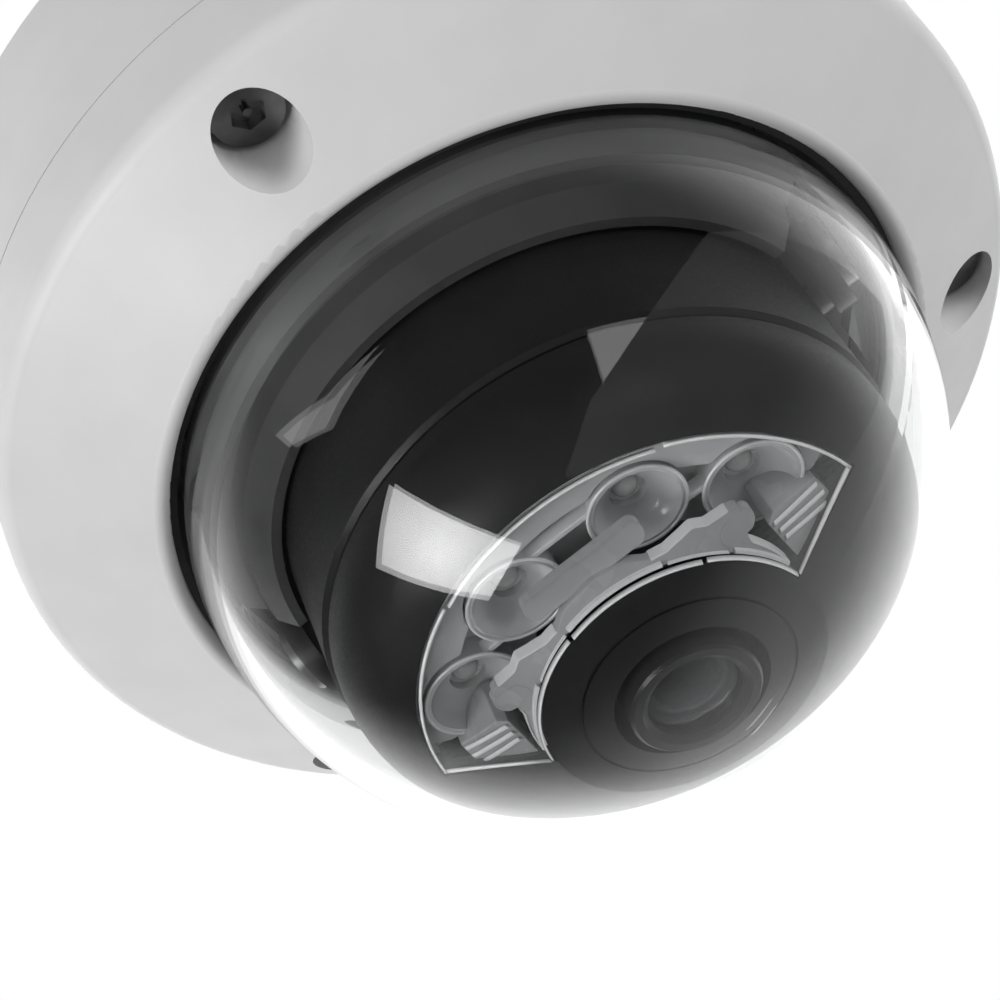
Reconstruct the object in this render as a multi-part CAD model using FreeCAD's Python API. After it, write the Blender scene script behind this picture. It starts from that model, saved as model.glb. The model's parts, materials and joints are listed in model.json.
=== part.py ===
import FreeCAD, Part
import os
from math import asin, cos, radians, sin, sqrt

V = FreeCAD.Vector

# A dome security camera.  It is drawn standing on its mounting face, lens up: heights are
# measured from that face towards the dome, and angles run from +X towards +Y.  At the end every
# piece is turned half a turn about X, so that the camera hangs below its mounting face.
# All sizes are in millimetres.

# housing
BODY_R = 55.5            # outside of the round housing
WALL = 2.4               # wall of the cast housing
FLOOR = 2.8              # floor of the base
POCKET = (14.0, 29.0)    # inner and outer radius of the shallow pocket in the mounting face
POCKET_DEPTH = 0.8
SEAM_Z = 21.5            # rim of the base, where the cover meets it
SEAM_GAP = 0.2
SIDE_TOP_Z = 29.9        # top of the straight side
CREASE_R = 54.0          # edge where the sloping front starts
CREASE_Z = 32.4
CONE_SLOPE = 0.65        # rise of the sloping front for each millimetre inwards
OPENING_R = 40.0         # opening of the cover round the dome
LIP_Z = 39.2             # where the rounded lip meets the straight wall of the opening

# dome
DOME_R = 39.2
DOME_WALL = 2.0
DOME_Z = 43.0            # centre of the dome, which is also the height of the tilt axis
FLANGE_R = 43.0          # flange of the dome, held between the gasket and the clamp ring
FLANGE_TOP_Z = 35.5
FLANGE_T = 1.8
GASKET_T = 1.0
CLAMP_T = 2.0

# screws of the cover, the clamp ring and the ceiling
COVER_SCREW_CIRCLE_R = 48.8
COVER_SCREW_ANGLES = (90, 210, 330)
COVER_RECESS_R = 4.4
COVER_SEAT_Z = 28.4
COVER_BOSS_R = 5.6
CLAMP_SCREW_CIRCLE_R = 45.1
CLAMP_SCREW_ANGLES = (30, 150, 270)
CLAMP_EAR_R = 2.4
MOUNT_HOLE_CIRCLE_R = 42.0
MOUNT_HOLE_R = 2.25
MOUNT_HOLE_ANGLES = (45, 135, 225, 315)
CABLE_Y = -41.0          # cable entry in the floor, on the far side from the lamps
CABLE_HOLE_R = 6.5
CABLE_R = 2.75
CONDUIT_R = 8.0
CONDUIT_Z = 11.5

# main board and pan bearing
BOARD_R = 38.5
BOARD_Z = 6.0
BOARD_T = 1.6
RESET_X = 36.4
FRAME_SCREW_CIRCLE_R = 34.0
FRAME_SCREW_ANGLES = (20, 160, 200, 340)
BRACKET_TOP_Z = 12.2
HUB_R = 8.0
RUNNING_GAP = 0.05
TURNTABLE_R = 35.2
TURNTABLE_Z = 12.6
TURNTABLE_T = 1.4

# yoke and tilt cradle
CHEEK_X = 31.2
CHEEK_T = 2.2
CHEEK_HALF_W = 7.0
PIN_R = 2.5
CRADLE_R = 29.8
CRADLE_WALL = 2.0
CRADLE_BOTTOM = 1.4      # heights of the cradle and the head are above the tilt axis
CRADLE_TOP = 16.6
SHELF_BOTTOM = 13.0
SHELF_TOP = 14.9
NECK_R = 24.2

# camera head
SHELL_T = 1.8
SHELL_SIDE_R = 29.4
SHELL_BOTTOM = 17.0
WINDOW_OUTER_R = 24.0
WINDOW_OUTER_H = 27.3
WINDOW_INNER_R = 14.2
WINDOW_INNER_H = 33.2
WINDOW_T = 1.0
WINDOW_HALF_ANGLE = 82.5
WINDOW_GAP = 0.15
FACE_H = 34.7            # height of the face at the lens hole
LENS_HOLE_R = 7.7
BARREL_R = 6.5
BARREL_TOP = 35.9
GLASS_R = 4.7
LED_SPOTS = ((18.2, 90 - 61.5), (16.6, 90 - 24.5), (16.6, 90 + 24.5), (18.2, 90 + 61.5))
LED_CUP_R = 4.7
LED_CUP_TOP = 26.6
LED_BOARD_H = 21.0
LED_SCREW_CIRCLE_R = 24.2
LED_SCREW_ANGLES = (90, 210, 330)
TRAY_H = 23.2            # underside of the reflector tray
TRAY_T = 0.8
SENSOR_BOARD_H = 9.4

UP = V(0, 0, 1)


def turned(points, start=0.0, sweep=360.0):
    """Solid of revolution about Z from (radius, height) points.  An item that holds two points
    is an arc, through the first to the second."""
    edges = []
    here = V(points[0][0], 0, points[0][1])
    for item in list(points[1:]) + [points[0]]:
        if isinstance(item[0], tuple):
            middle = V(item[0][0], 0, item[0][1])
            there = V(item[1][0], 0, item[1][1])
            edges.append(Part.Arc(here, middle, there).toShape())
        else:
            there = V(item[0], 0, item[1])
            edges.append(Part.LineSegment(here, there).toShape())
        here = there
    solid = Part.Face(Part.Wire(edges)).revolve(V(0, 0, 0), UP, sweep)
    solid.rotate(V(0, 0, 0), UP, start)
    return solid


def cap(radius, edge_z, apex_z, outwards=False):
    """Arc item for a profile: part of a sphere centred on the axis, from its edge to its apex,
    or the other way when outwards is true."""
    rise = apex_z - edge_z
    sphere_r = (radius * radius + rise * rise) / (2 * rise)
    half = asin(radius / abs(sphere_r)) / 2
    middle = (abs(sphere_r) * sin(half), apex_z - sphere_r * (1 - cos(half)))
    return (middle, (radius, edge_z)) if outwards else (middle, (0, apex_z))


def raised(points, lift):
    """The same outline, lifted."""
    moved = []
    for item in points:
        if isinstance(item[0], tuple):
            moved.append(tuple((r, z + lift) for r, z in item))
        else:
            moved.append((item[0], item[1] + lift))
    return moved


def ring(inner, outer, low, high):
    if inner <= 0:
        return Part.makeCylinder(outer, high - low, V(0, 0, low))
    return turned([(inner, low), (outer, low), (outer, high), (inner, high)])


def rod(radius, x, y, low, high):
    return Part.makeCylinder(radius, high - low, V(x, y, low))


def block(x0, x1, y0, y1, z0, z1):
    return Part.makeBox(x1 - x0, y1 - y0, z1 - z0, V(x0, y0, z0))


def polar(radius, angle):
    return radius * cos(radians(angle)), radius * sin(radians(angle))


def group(solids):
    return Part.Compound(solids)


def screws(places, head_r, head_z, head_h, shaft_r, tip_z, socket_r):
    """Identical screws, heads up, each with a hexagon socket."""
    solids = []
    for x, y in places:
        socket = hexagon(socket_r, x, y, head_z + head_h * 0.45, head_z + head_h)
        shaft = rod(shaft_r, x, y, tip_z, head_z)
        solids.append(rod(head_r, x, y, head_z, head_z + head_h).fuse(shaft).cut(socket).removeSplitter())
    return group(solids)


def hexagon(radius, x, y, low, high):
    corners = [V(x + polar(radius, 60 * k)[0], y + polar(radius, 60 * k)[1], low) for k in range(7)]
    return Part.Face(Part.makePolygon(corners)).extrude(V(0, 0, high - low))


def cone_z(radius):
    """Height of the sloping front of the cover at a radius."""
    return CREASE_Z + (CREASE_R - radius) * CONE_SLOPE


def places(radius, angles):
    return [polar(radius, angle) for angle in angles]


# ---------------------------------------------------------------- base

def base_housing():
    inner_r = BODY_R - 2.6
    shell = turned([
        (0, 0), (BODY_R - 0.8, 0), (BODY_R, 0.8), (BODY_R, SEAM_Z),
        (54.7, SEAM_Z), (54.7, SEAM_Z - 1.2), (53.5, SEAM_Z - 1.2), (53.5, SEAM_Z),
        (52.7, SEAM_Z), (52.7, SEAM_Z + 2.0), (51.4, SEAM_Z + 2.0), (51.4, SEAM_Z - 3.5),
        (inner_r, SEAM_Z - 5.0), (inner_r, FLOOR), (0, FLOOR)])
    for x, y in places(COVER_SCREW_CIRCLE_R, COVER_SCREW_ANGLES):
        post = rod(4.6, x, y, FLOOR, COVER_SEAT_Z - 2.6)
        shell = shell.fuse(post.common(ring(0, 52.7, 0, 40)))
    for x, y in places(FRAME_SCREW_CIRCLE_R, FRAME_SCREW_ANGLES):
        shell = shell.fuse(rod(3.4, x, y, FLOOR, BOARD_Z))
    for x, y in places(COVER_SCREW_CIRCLE_R, COVER_SCREW_ANGLES):
        shell = shell.cut(rod(2.0, x, y, 12.0, 30.0))
    for x, y in places(FRAME_SCREW_CIRCLE_R, FRAME_SCREW_ANGLES):
        shell = shell.cut(rod(1.25, x, y, 1.6, BOARD_Z))
    for x, y in places(MOUNT_HOLE_CIRCLE_R, MOUNT_HOLE_ANGLES):
        shell = shell.cut(rod(MOUNT_HOLE_R, x, y, -1, FLOOR + 1))
    shell = shell.cut(rod(CABLE_HOLE_R, 0, CABLE_Y, -1, FLOOR + 1)).cut(ring(*POCKET, -1, POCKET_DEPTH))
    conduit = Part.makeCylinder(CONDUIT_R, 12, V(0, -BODY_R - 4, CONDUIT_Z), V(0, 1, 0))
    return shell.cut(conduit).removeSplitter()


def base_seal():
    return ring(53.6, 54.6, SEAM_Z - 1.2, SEAM_Z + SEAM_GAP)


def cable_grommet():
    """Rubber grommet, gripped by the edge of the hole in the floor."""
    body = turned([
        (CABLE_R, 0.2), (CABLE_HOLE_R, 0.2), (CABLE_HOLE_R, FLOOR), (CABLE_HOLE_R + 1.5, FLOOR),
        (CABLE_HOLE_R + 1.5, FLOOR + 1.2), (4.6, FLOOR + 1.8), (4.2, FLOOR + 4.0), (CABLE_R, FLOOR + 4.0)])
    body.translate(V(0, CABLE_Y, 0))
    return body


def conduit_plug():
    """Blanking plug in the side entry, with a coin slot across its head."""
    plug = turned([(0, -3.4), (CONDUIT_R, -3.4), (CONDUIT_R, 0), (9.4, 0), (9.4, 1.2), (8.8, 1.8), (0, 1.8)])
    plug = plug.cut(block(-6, 6, -0.9, 0.9, 0.6, 3))
    plug.rotate(V(0, 0, 0), V(1, 0, 0), 90)
    plug.translate(V(0, -BODY_R, CONDUIT_Z))
    bed = ring(0, BODY_R, 0, SEAM_Z).common(block(-12, 12, -60, -BODY_R + 3.4, 0, SEAM_Z))
    hole = Part.makeCylinder(CONDUIT_R, 12, V(0, -BODY_R - 4, CONDUIT_Z), V(0, 1, 0))
    return plug.cut(bed.cut(hole)).removeSplitter()


def main_board():
    board = ring(0, BOARD_R, BOARD_Z, BOARD_Z + BOARD_T)
    for x, y in places(MOUNT_HOLE_CIRCLE_R, MOUNT_HOLE_ANGLES):
        board = board.cut(rod(6.5, x, y, 0, 20))
    for x, y in places(FRAME_SCREW_CIRCLE_R, FRAME_SCREW_ANGLES):
        board = board.cut(rod(1.3, x, y, 0, 20))
    return board.cut(rod(9.5, 0, CABLE_Y, 0, 20)).removeSplitter()


def board_top():
    return BOARD_Z + BOARD_T


def processor_chip():
    return block(-7, 7, -7, 7, board_top(), board_top() + 1.4)


def header(x, y, length, width, height, pins):
    """Open-topped connector housing with a row of pins."""
    z = board_top()
    body = block(x - length / 2, x + length / 2, y - width / 2, y + width / 2, z, z + height)
    body = body.cut(block(x - length / 2 + 0.6, x + length / 2 - 0.6, y - width / 2 + 0.6,
                          y + width / 2 - 0.6, z + 0.7, z + height + 1))
    pitch = (length - 2.4) / (pins - 1)
    for k in range(pins):
        pin_x = x - length / 2 + 1.2 + pitch * k
        body = body.fuse(block(pin_x - 0.25, pin_x + 0.25, y - 0.25, y + 0.25, z + 0.5, z + height - 0.4))
    return body.removeSplitter()


def memory_card_slot():
    z = board_top()
    slot = block(-38, -24, -7.4, 7.4, z, z + 1.9)
    return slot.cut(block(-39, -25, -5.6, 5.6, z + 0.5, z + 1.4))


def reset_switch():
    z = board_top()
    body = block(RESET_X - 1.8, RESET_X + 1.8, -1.8, 1.8, z, z + 2.0)
    return body.cut(rod(1.05, RESET_X, 0, z + 0.6, z + 3))


def reset_button():
    z = board_top()
    return rod(1.0, RESET_X, 0, z + 1.0, z + 2.8)


def pan_bracket():
    """Fixed frame over the main board that carries the pan bearing."""
    frame = ring(0, 24.0, BRACKET_TOP_Z - 1.2, BRACKET_TOP_Z)
    for angle in FRAME_SCREW_ANGLES:
        x, y = polar(FRAME_SCREW_CIRCLE_R, angle)
        arm = block(20, FRAME_SCREW_CIRCLE_R, -3.6, 3.6, BRACKET_TOP_Z - 2.2, BRACKET_TOP_Z)
        arm.rotate(V(0, 0, 0), UP, angle)
        frame = frame.fuse(arm).fuse(rod(4.0, x, y, board_top(), BRACKET_TOP_Z))
    for x, y in places(FRAME_SCREW_CIRCLE_R, FRAME_SCREW_ANGLES):
        frame = frame.cut(rod(2.7, x, y, BRACKET_TOP_Z - 1.8, 20)).cut(rod(1.3, x, y, 0, 20))
    frame = frame.cut(rod(HUB_R + RUNNING_GAP, 0, 0, 0, 20))
    return frame.removeSplitter()


def bracket_screws():
    return screws(places(FRAME_SCREW_CIRCLE_R, FRAME_SCREW_ANGLES), 2.5, BRACKET_TOP_Z - 1.8, 1.6,
                  1.2, 2.0, 1.1)


# ---------------------------------------------------------------- cover

def cover_shell():
    """Cast cover: straight side, soft shoulder, sloping front and a rounded lip round the dome."""
    inner_r = BODY_R - WALL
    under = WALL * sqrt(1 + CONE_SLOPE ** 2)      # wall measured straight down through the slope
    stack = FLANGE_TOP_Z + GASKET_T
    shell = turned([
        (BODY_R, SEAM_Z + SEAM_GAP), (BODY_R, SIDE_TOP_Z), ((55.1, 31.4), (CREASE_R, CREASE_Z)),
        (42.0, cone_z(42.0)), ((40.5, 40.3), (OPENING_R, LIP_Z)),
        (OPENING_R, stack), (43.2, stack), (43.2, cone_z(43.2) - under),
        (52.2, cone_z(52.2) - under), (inner_r, SIDE_TOP_Z - 0.6), (inner_r, SEAM_Z + SEAM_GAP)])
    envelope = turned([(0, 20), (BODY_R - 0.5, 20), (BODY_R - 0.5, SIDE_TOP_Z), (CREASE_R - 0.5, CREASE_Z - 0.4),
                       (42.5, cone_z(42.5) - 0.5), (0, cone_z(42.5) - 0.5)])
    for x, y in places(COVER_SCREW_CIRCLE_R, COVER_SCREW_ANGLES):
        shell = shell.fuse(rod(COVER_BOSS_R, x, y, COVER_SEAT_Z - 2.4, 40).common(envelope))
    for x, y in places(CLAMP_SCREW_CIRCLE_R, CLAMP_SCREW_ANGLES):
        shell = shell.fuse(rod(2.6, x, y, FLANGE_TOP_Z - FLANGE_T, 40).common(envelope))
    shell = shell.cut(ring(0, 43.2, 20, stack))
    for x, y in places(COVER_SCREW_CIRCLE_R, COVER_SCREW_ANGLES):
        shell = shell.cut(rod(COVER_RECESS_R, x, y, COVER_SEAT_Z, 45)).cut(rod(2.3, x, y, 20, 40))
    for x, y in places(CLAMP_SCREW_CIRCLE_R, CLAMP_SCREW_ANGLES):
        shell = shell.cut(rod(1.25, x, y, 30, 35.6))
    return shell.removeSplitter()


def dome_gasket():
    """Rubber ring: a flange under the cover's lip and a thin sleeve between the lip and dome."""
    low = FLANGE_TOP_Z
    return turned([(DOME_R, low), (FLANGE_R, low), (FLANGE_R, low + GASKET_T), (OPENING_R, low + GASKET_T),
                   (OPENING_R, LIP_Z), (DOME_R, LIP_Z)])


def dome_bubble():
    """Clear hemisphere on a short straight skirt with a clamping flange."""
    inner = DOME_R - DOME_WALL
    low = FLANGE_TOP_Z - FLANGE_T
    s = sin(radians(45))
    return turned([
        (inner, low), (FLANGE_R, low), (FLANGE_R, FLANGE_TOP_Z), (DOME_R, FLANGE_TOP_Z), (DOME_R, DOME_Z),
        ((DOME_R * s, DOME_Z + DOME_R * s), (0, DOME_Z + DOME_R)), (0, DOME_Z + inner),
        ((inner * s, DOME_Z + inner * s), (inner, DOME_Z))])


def dome_clamp_ring():
    high = FLANGE_TOP_Z - FLANGE_T
    clamp = ring(38.4, FLANGE_R, high - CLAMP_T, high)
    for angle in CLAMP_SCREW_ANGLES:
        x, y = polar(CLAMP_SCREW_CIRCLE_R, angle)
        ear = block(41, CLAMP_SCREW_CIRCLE_R, -CLAMP_EAR_R, CLAMP_EAR_R, high - CLAMP_T, high)
        ear.rotate(V(0, 0, 0), UP, angle)
        clamp = clamp.fuse(ear).fuse(rod(CLAMP_EAR_R, x, y, high - CLAMP_T, high))
    for x, y in places(CLAMP_SCREW_CIRCLE_R, CLAMP_SCREW_ANGLES):
        clamp = clamp.cut(rod(1.3, x, y, 0, 40))
    return clamp.removeSplitter()


def clamp_screws():
    """Short screws that hold the clamp ring from inside the cover, heads down."""
    low = FLANGE_TOP_Z - FLANGE_T - CLAMP_T
    solids = []
    for x, y in places(CLAMP_SCREW_CIRCLE_R, CLAMP_SCREW_ANGLES):
        body = rod(2.2, x, y, low - 1.6, low).fuse(rod(1.2, x, y, low, 35.4))
        solids.append(body.cut(hexagon(1.1, x, y, low - 1.6, low - 0.7)).removeSplitter())
    return group(solids)


def cover_screws():
    """Captive screws in deep round recesses; the socket has a pin in its middle."""
    spots = places(COVER_SCREW_CIRCLE_R, COVER_SCREW_ANGLES)
    solids = []
    for solid, (x, y) in zip(screws(spots, 3.7, COVER_SEAT_Z, 2.6, 1.95, 14.0, 1.9).Solids, spots):
        pin = rod(0.45, x, y, COVER_SEAT_Z + 1.0, COVER_SEAT_Z + 2.4)
        solids.append(solid.fuse(pin).removeSplitter())
    return group(solids)


# ---------------------------------------------------------------- pan

def pan_friction_ring():
    return ring(12.0, 20.0, BRACKET_TOP_Z, TURNTABLE_Z)


def pan_turntable():
    """Turning plate with a hollow hub; the hub lets the cable through."""
    plate = ring(5.5, TURNTABLE_R, TURNTABLE_Z, TURNTABLE_Z + TURNTABLE_T)
    plate = plate.fuse(ring(5.5, HUB_R, 9.4, TURNTABLE_Z))
    for x in (-26.0, 26.0):
        for y in (-4.2, 4.2):
            plate = plate.cut(rod(1.0, x, y, 0, 20))
    return plate.removeSplitter()


def pan_retainer():
    return ring(HUB_R, 11.0, 9.6, 10.6)


def pan_spring_washer():
    return ring(HUB_R + 0.3, 10.6, 10.6, BRACKET_TOP_Z - 1.2)


def yoke(side):
    """Upright that carries one end of the tilt axis.  side is +1 or -1, along X."""
    foot_z = TURNTABLE_Z + TURNTABLE_T
    upright = block(CHEEK_X, CHEEK_X + CHEEK_T, -CHEEK_HALF_W, CHEEK_HALF_W, foot_z, DOME_Z)
    shoulder = block(CHEEK_X, CHEEK_X + CHEEK_T, -9.4, 9.4, foot_z, 37.0)
    crown = Part.makeCylinder(5.6, CHEEK_T, V(CHEEK_X, 0, DOME_Z), V(1, 0, 0))
    foot = block(22.0, CHEEK_X + CHEEK_T, -CHEEK_HALF_W, CHEEK_HALF_W, foot_z, foot_z + 1.4)
    gusset = turned_gusset(foot_z + 1.4)
    body = upright.fuse([shoulder, crown, foot, gusset])
    body = body.cut(Part.makeCylinder(PIN_R + RUNNING_GAP, 10, V(CHEEK_X - 2, 0, DOME_Z), V(1, 0, 0)))
    for y in (-4.2, 4.2):
        body = body.cut(rod(1.3, 26.0, y, 0, 20))
    body = body.removeSplitter()
    if side < 0:
        body.rotate(V(0, 0, 0), UP, 180)
    return body


def turned_gusset(low):
    """Triangular rib between a yoke's foot and its upright."""
    half_t = 0.9
    toe = V(CHEEK_X - 3.0, -half_t, low)
    corners = [toe, V(CHEEK_X, -half_t, low), V(CHEEK_X, -half_t, low + 7), toe]
    return Part.Face(Part.makePolygon(corners)).extrude(V(0, 2 * half_t, 0))


def yoke_screws():
    spots = [(x, y) for x in (-26.0, 26.0) for y in (-4.2, 4.2)]
    return screws(spots, 2.0, TURNTABLE_Z + TURNTABLE_T + 1.4, 1.3, 1.0, TURNTABLE_Z, 0.9)


def inner_liner():
    """Dark ring that hides the works, open on one side so that the head can tilt down into it."""
    liner = turned([
        (36.8, 38.0), (36.8, 39.2), (34.0, 41.8), (33.4, 44.0), (31.4, 46.8), (30.4, 46.8),
        (30.4, 45.6), (31.0, 45.6), (32.6, 43.4), (33.0, 41.4), (35.6, 38.0)])
    skirt = ring(35.6, 36.8, 37.0, 38.2)
    tabs = [block(s * 33.0 - 3.8, s * 33.0 + 3.8, -9.4, 9.4, 37.0, 38.2) for s in (-1, 1)]
    outside = ring(0, 36.8, 30, 50)
    liner = liner.fuse(skirt).fuse([tab.common(outside) for tab in tabs])
    for s in (-1, 1):
        x0, x1 = sorted((s * 29.0, s * 35.6))
        liner = liner.cut(block(x0, x1, -CHEEK_HALF_W - 0.3, CHEEK_HALF_W + 0.3, 30, 50))
    liner = liner.cut(block(-30.6, 30.6, -50, -5.0, 30, 50))
    liner = liner.cut(ring(0, 30.39, 30, 50))
    return liner.removeSplitter()


# ---------------------------------------------------------------- tilt cradle

def tilt_cradle():
    """Ring that tilts on two pins and holds the rolling head on an inner shelf."""
    inner = CRADLE_R - CRADLE_WALL
    body = turned(raised([
        (inner, CRADLE_BOTTOM), (CRADLE_R, CRADLE_BOTTOM), (CRADLE_R, CRADLE_TOP - 0.5),
        (CRADLE_R - 0.5, CRADLE_TOP), (inner, CRADLE_TOP), (inner, SHELF_TOP),
        (NECK_R + RUNNING_GAP, SHELF_TOP), (NECK_R + RUNNING_GAP, SHELF_BOTTOM), (inner, SHELF_BOTTOM)], DOME_Z))
    for side in (-1, 1):
        x0 = inner if side > 0 else -CRADLE_R
        ear = block(x0, x0 + CRADLE_WALL, -5.5, 5.5, DOME_Z, DOME_Z + 3.0)
        lobe = Part.makeCylinder(5.5, CRADLE_WALL, V(x0, 0, DOME_Z), V(1, 0, 0))
        body = body.fuse([ear, lobe])
        body = body.cut(Part.makeCylinder(PIN_R, 8, V(x0 - 3, 0, DOME_Z), V(1, 0, 0)))
    return body.removeSplitter()


def tilt_pins():
    solids = []
    for side in (-1, 1):
        axis = V(side, 0, 0)
        pin = Part.makeCylinder(PIN_R, CHEEK_X + CHEEK_T - 27.9, V(side * 27.9, 0, DOME_Z), axis)
        head = Part.makeCylinder(4.0, 1.4, V(side * (CHEEK_X + CHEEK_T), 0, DOME_Z), axis)
        slot = block(-0.5, 0.5, -3, 3, -1, 1)
        slot.translate(V(side * (CHEEK_X + CHEEK_T + 1.6), 0, DOME_Z))
        solids.append(pin.fuse(head).cut(slot).removeSplitter())
    return group(solids)


def tilt_friction_washers():
    solids = []
    for side in (-1, 1):
        start = V(side * CRADLE_R, 0, DOME_Z)
        axis = V(side, 0, 0)
        length = CHEEK_X - CRADLE_R
        washer = Part.makeCylinder(4.8, length, start, axis)
        solids.append(washer.cut(Part.makeCylinder(PIN_R, length, start, axis)))
    return group(solids)


# ---------------------------------------------------------------- camera head

def window_cut(gap):
    """Solid sector through the shell where the lamp window sits."""
    low, high = DOME_Z + 20, DOME_Z + 40
    half = WINDOW_HALF_ANGLE
    return turned([(WINDOW_INNER_R - gap, low), (WINDOW_OUTER_R + gap, low), (WINDOW_OUTER_R + gap, high),
                   (WINDOW_INNER_R - gap, high)], 90 - half, 2 * half)


def head_front_shell():
    """Ball-shaped front of the head, with a neck that turns inside the cradle's shelf."""
    body = turned(raised([
        (SHELL_SIDE_R, SHELL_BOTTOM), (SHELL_SIDE_R, 18.4),
        ((28.2, 23.1), (WINDOW_OUTER_R + 0.2, WINDOW_OUTER_H)), (WINDOW_INNER_R - 0.2, WINDOW_INNER_H),
        (LENS_HOLE_R, FACE_H), (LENS_HOLE_R, FACE_H - 2.6), (13.2, WINDOW_INNER_H - 2.0),
        (23.0, 25.6), (26.4, 22.0), (27.6, 18.8), (26.4, 17.4), (22.4, 17.4), (22.4, 12.8),
        (NECK_R, 12.8), (NECK_R, 15.2), (27.4, 15.2), (27.4, SHELL_BOTTOM)], DOME_Z))
    for x, y in places(LED_SCREW_CIRCLE_R, LED_SCREW_ANGLES):
        body = body.fuse(rod(1.8, x, y, DOME_Z + 16.4, DOME_Z + LED_BOARD_H))
    for x, y in places(LED_SCREW_CIRCLE_R, LED_SCREW_ANGLES):
        body = body.cut(rod(0.8, x, y, DOME_Z + 17.6, DOME_Z + LED_BOARD_H))
    for x, y in places(23.3, (30, 150, 270)):
        body = body.cut(rod(0.65, x, y, DOME_Z + 12, DOME_Z + 15.5))
    return body.cut(window_cut(WINDOW_GAP)).cut(groove_on_face()).removeSplitter()


def groove_on_face():
    """Fine round line on the face, outside the lens hole."""
    return turned(raised([(10.4, 33.8), (10.7, 33.8), (10.7, 36), (10.4, 36)], DOME_Z))


def window_slope(radius):
    share = (radius - WINDOW_INNER_R) / (WINDOW_OUTER_R - WINDOW_INNER_R)
    return WINDOW_INNER_H + (WINDOW_OUTER_H - WINDOW_INNER_H) * share


def led_window():
    """Clear cover over the lamps, flush with the shell."""
    half = WINDOW_HALF_ANGLE - 0.4
    outer, inner = WINDOW_OUTER_R, WINDOW_INNER_R
    return turned(raised([
        (inner, window_slope(inner)), (outer, window_slope(outer)), (outer, window_slope(outer) - WINDOW_T),
        (inner, window_slope(inner) - WINDOW_T)], DOME_Z), 90 - half, 2 * half)


def led_reflector_tray():
    """Tray with four round bowls, one round each lamp."""
    half = WINDOW_HALF_ANGLE - 1.0
    floor_top = TRAY_H + TRAY_T
    tray = turned(raised([
        (11.4, TRAY_H), (23.9, TRAY_H), (23.9, 24.5), (23.3, 24.9), (23.3, floor_top), (11.4, floor_top)],
        DOME_Z), 90 - half, 2 * half)
    bowl_floor_r = 1.8
    bowl = turned(raised([
        (bowl_floor_r, TRAY_H), (LED_CUP_R, TRAY_H), (LED_CUP_R, LED_CUP_TOP), (LED_CUP_R - 0.4, LED_CUP_TOP),
        ((3.4, 24.9), (bowl_floor_r, TRAY_H + TRAY_T + 0.1))], DOME_Z))
    for radius, angle in LED_SPOTS:
        x, y = polar(radius, angle)
        placed = bowl.copy()
        placed.translate(V(x, y, 0))
        tray = tray.cut(rod(bowl_floor_r, x, y, DOME_Z, DOME_Z + 30)).fuse(placed)
    return tray.removeSplitter()


def led_board():
    board = ring(11.2, 26.0, DOME_Z + LED_BOARD_H, DOME_Z + LED_BOARD_H + 1.2)
    for x, y in places(LED_SCREW_CIRCLE_R, LED_SCREW_ANGLES):
        board = board.cut(rod(0.9, x, y, DOME_Z, DOME_Z + 30))
    return board


def led_emitters():
    """Surface-mounted lamps: a square body with a domed top."""
    low = DOME_Z + LED_BOARD_H + 1.2
    solids = []
    for radius, angle in LED_SPOTS:
        x, y = polar(radius, angle)
        body = block(-1.7, 1.7, -1.7, 1.7, 0, 0.6)
        lamp = body.fuse(turned([(0, 0.3), (1.3, 0.3), (1.3, 0.9), cap(1.3, 0.9, 2.0)]))
        lamp.rotate(V(0, 0, 0), UP, angle)
        lamp.translate(V(x, y, low))
        solids.append(lamp)
    return group(solids)


def led_board_screws():
    spots = places(LED_SCREW_CIRCLE_R, LED_SCREW_ANGLES)
    return screws(spots, 1.15, DOME_Z + LED_BOARD_H + 1.2, 0.7, 0.75, DOME_Z + 17.8, 0.5)


def head_retainer():
    """Ring under the cradle's shelf that keeps the head in the cradle."""
    body = turned(raised([(19.0, 11.0), (27.2, 11.0), (27.2, 12.8), (19.0, 12.8)], DOME_Z))
    for x, y in places(23.3, (30, 150, 270)):
        body = body.cut(rod(0.7, x, y, DOME_Z, DOME_Z + 20))
    return body


def head_retainer_screws():
    solids = []
    for x, y in places(23.3, (30, 150, 270)):
        head = rod(1.5, x, y, DOME_Z + 9.9, DOME_Z + 11.0)
        solids.append(head.fuse(rod(0.6, x, y, DOME_Z + 11.0, DOME_Z + 15.2)).removeSplitter())
    return group(solids)


def sensor_screw_places():
    return [(x, y) for x in (-10.2, 10.2) for y in (-10.2, 10.2)]


def head_rear_cover():
    """Cup that closes the back of the head; the cable leaves through its floor."""
    cup = turned(raised([
        (4.0, 0.0), (17.6, 0.0), (19.0, 1.4), (19.0, 12.8), (17.5, 12.8), (17.5, 1.5), (4.0, 1.5)], DOME_Z))
    for x, y in sensor_screw_places():
        cup = cup.fuse(rod(1.7, x, y, DOME_Z + 1.0, DOME_Z + SENSOR_BOARD_H))
    for x, y in sensor_screw_places():
        cup = cup.cut(rod(0.7, x, y, DOME_Z + 5.0, DOME_Z + 20))
    return cup.removeSplitter()


def sensor_board_screws():
    top = DOME_Z + SENSOR_BOARD_H + 1.6
    return screws(sensor_screw_places(), 1.3, top, 0.9, 0.65, DOME_Z + 5.4, 0.6)


def lens_barrel():
    """Threaded lens barrel with a wider nose and a conical mouth in front of the glass."""
    return turned(raised([
        (0, 16.0), (6.0, 16.0), (6.0, 29.0), (BARREL_R, 29.4), (BARREL_R, BARREL_TOP - 0.3),
        (BARREL_R - 0.3, BARREL_TOP), (GLASS_R + 0.7, BARREL_TOP), (GLASS_R, BARREL_TOP - 0.5),
        (GLASS_R, 33.4), (3.4, 33.0), (3.4, 30.0), (0, 30.0)], DOME_Z))


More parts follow.
